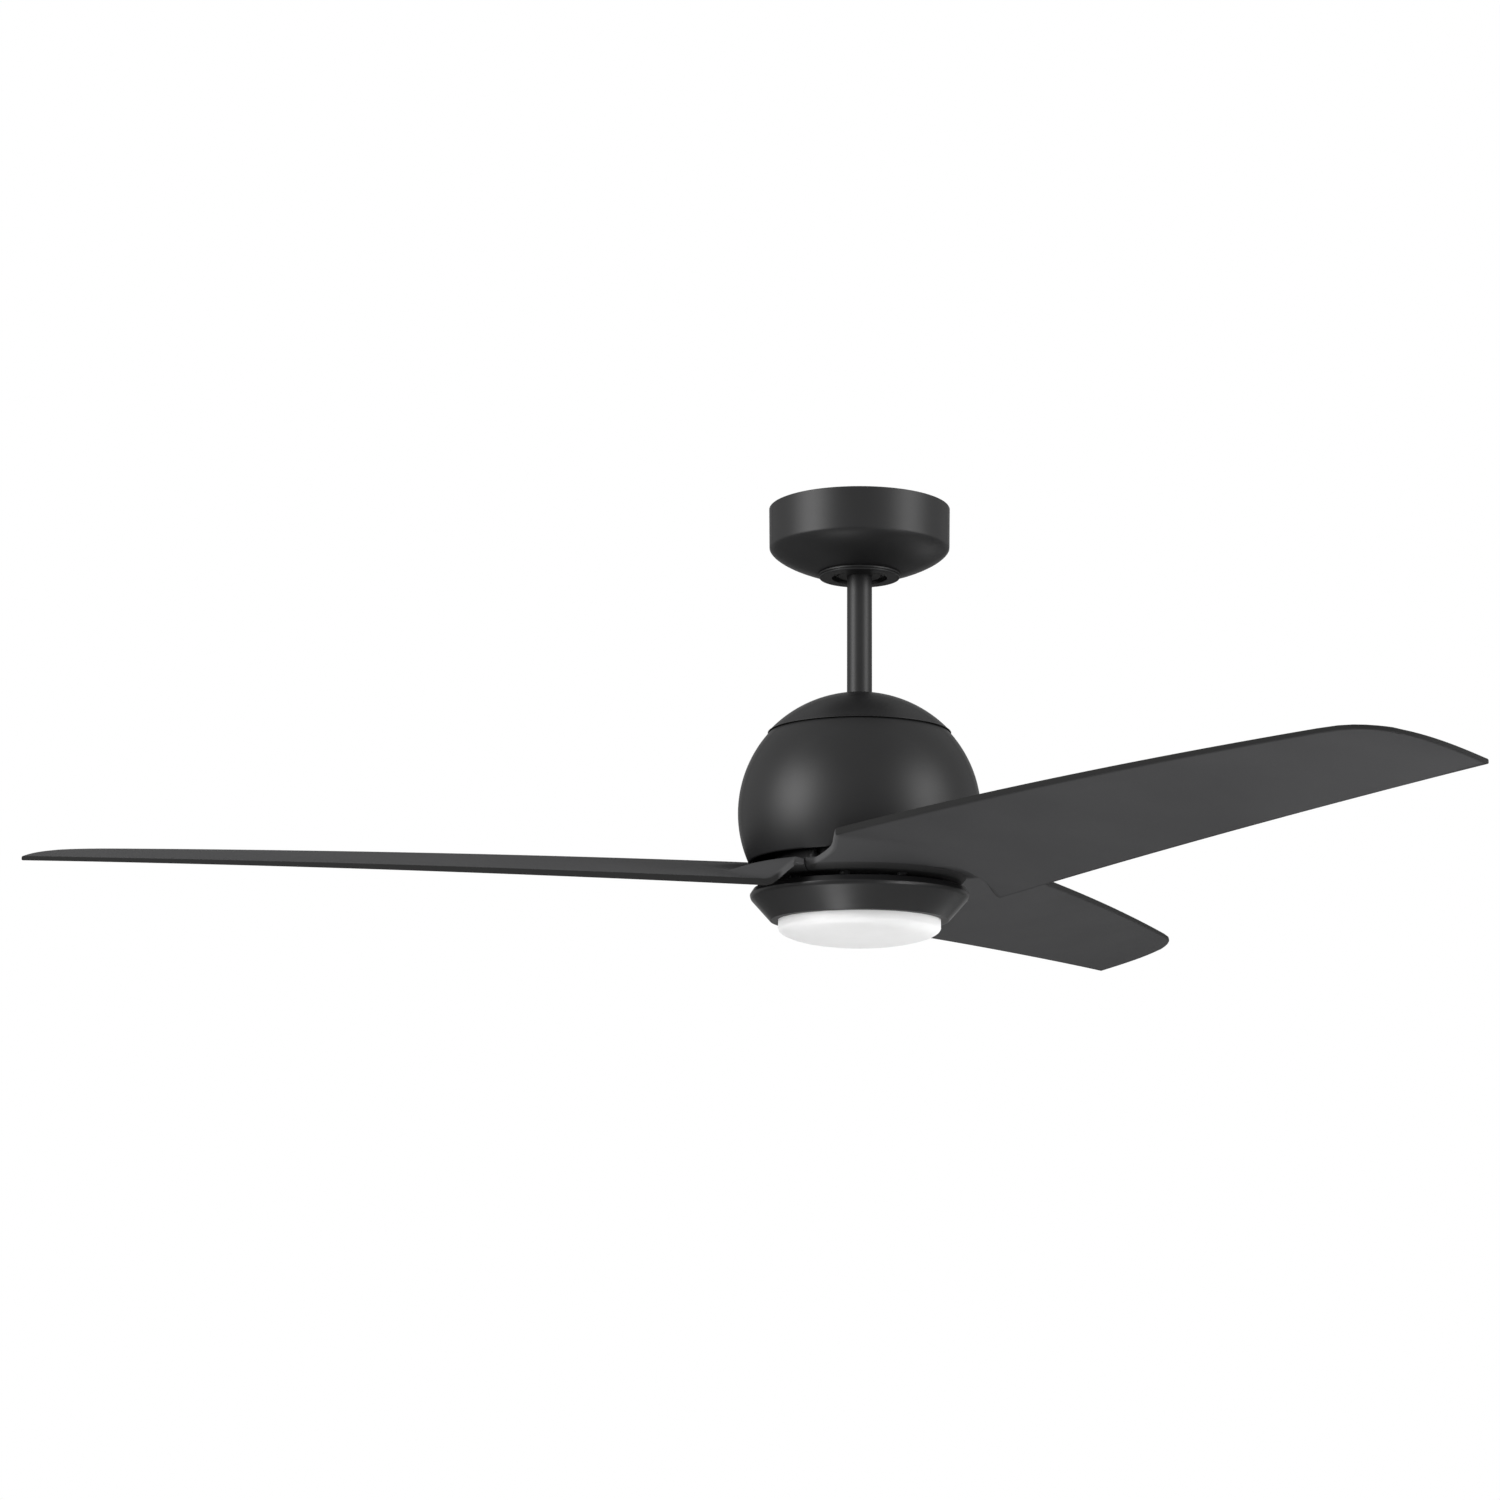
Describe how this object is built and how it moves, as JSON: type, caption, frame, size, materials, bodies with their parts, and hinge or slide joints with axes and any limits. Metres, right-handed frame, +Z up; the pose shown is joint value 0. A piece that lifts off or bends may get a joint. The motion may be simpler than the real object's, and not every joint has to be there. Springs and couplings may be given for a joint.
{
  "type": "ceiling fan with light",
  "caption": "Black ceiling fan with a round motor housing, broad pitched plastic blades, a short downrod with canopy, and a flat light with a domed opal lens",
  "frame": {"origin": "centre of the canopy's rim, in the plane of the ceiling that the fan hangs from", "axes": "+Z is up, out of the fan into the ceiling, along the rod and the motor's axis; the fan hangs below z = 0; -Y is the front; +X is to the right seen from the front"},
  "size_m": [1.1073, 1.2001, 0.3763],
  "materials": {
    "black_sheet": "matte flat black paint on spun steel",
    "black_rod": "matte flat black paint on steel tube",
    "blade_plastic": "matte black moulded ABS",
    "opal_plastic": "opal white, satin",
    "black_plastic": "moulded black plastic",
    "white_plastic": "moulded white plastic",
    "zinc_steel": "zinc plated steel",
    "shaft_steel": "ground steel",
    "stator_steel": "laminated electrical steel",
    "magnet": "sintered ferrite",
    "copper_enamel": "enamelled winding wire",
    "black_casting": "die cast aluminium painted black",
    "black_steel": "steel with black zinc plating",
    "sheet_aluminium": "mill finish sheet",
    "rubber": "moulded black rubber",
    "wire_insulation": "wire insulation",
    "phosphor": "phosphor coated chips",
    "ground_green": "green ground screw"
  },
  "bodies": {
    "ceiling": {"hanger_bracket": "zinc_steel", "ground_screw": "ground_green", "receiver": "black_plastic", "canopy": "black_sheet", "canopy_screws": "zinc_steel", "canopy_trim_ring": "black_sheet"},
    "pendant": {"hanger_ball": "black_plastic", "ball_pin": "zinc_steel", "downrod": "black_rod", "rod_grommet": "rubber", "lead_wires": "wire_insulation", "motor_coupling": "zinc_steel", "coupling_pin": "zinc_steel", "coupling_clip": "zinc_steel", "coupling_set_screws": "zinc_steel", "ball_cap": "black_sheet", "motor_housing": "black_sheet", "housing_screws": "zinc_steel", "motor_shaft": "shaft_steel", "stator_core": "stator_steel", "stator_windings": "copper_enamel", "light_plate": "zinc_steel", "shaft_nut": "zinc_steel", "light_ring": "black_sheet", "light_screws": "zinc_steel", "light_standoffs": "sheet_aluminium", "led_driver": "white_plastic", "led_plate": "sheet_aluminium", "led_screws": "zinc_steel", "led_board": "white_plastic", "led_chips": "phosphor"},
    "rotor": {"upper_bearing": "shaft_steel", "lower_bearing": "shaft_steel", "rotor_upper_shield": "black_casting", "rotor_lower_shield": "black_casting", "rotor_ring": "zinc_steel", "rotor_magnets": "magnet", "motor_bolts": "black_steel", "blade_hub": "black_steel", "blade_gaskets": "rubber", "blade_1": "blade_plastic", "blade_2": "blade_plastic", "blade_3": "blade_plastic", "blade_screws": "black_steel"},
    "lens_bowl": {"lens": "opal_plastic"}
  },
  "joints": [
    {"name": "hanger_swing", "type": "hinge", "parent": "ceiling", "child": "pendant", "pos_m": [0, 0, -0.041], "axis": [1, 0, 0], "range_deg": [-20, 20]},
    {"name": "rotor_spin", "type": "hinge", "parent": "pendant", "child": "rotor", "pos_m": [0, 0, -0.276], "axis": [0, 0, 1], "continuous": true},
    {"name": "lens_twist", "type": "hinge", "parent": "pendant", "child": "lens_bowl", "pos_m": [0, 0, -0.351], "axis": [0, 0, 1], "range_deg": [0, 18]}
  ]
}
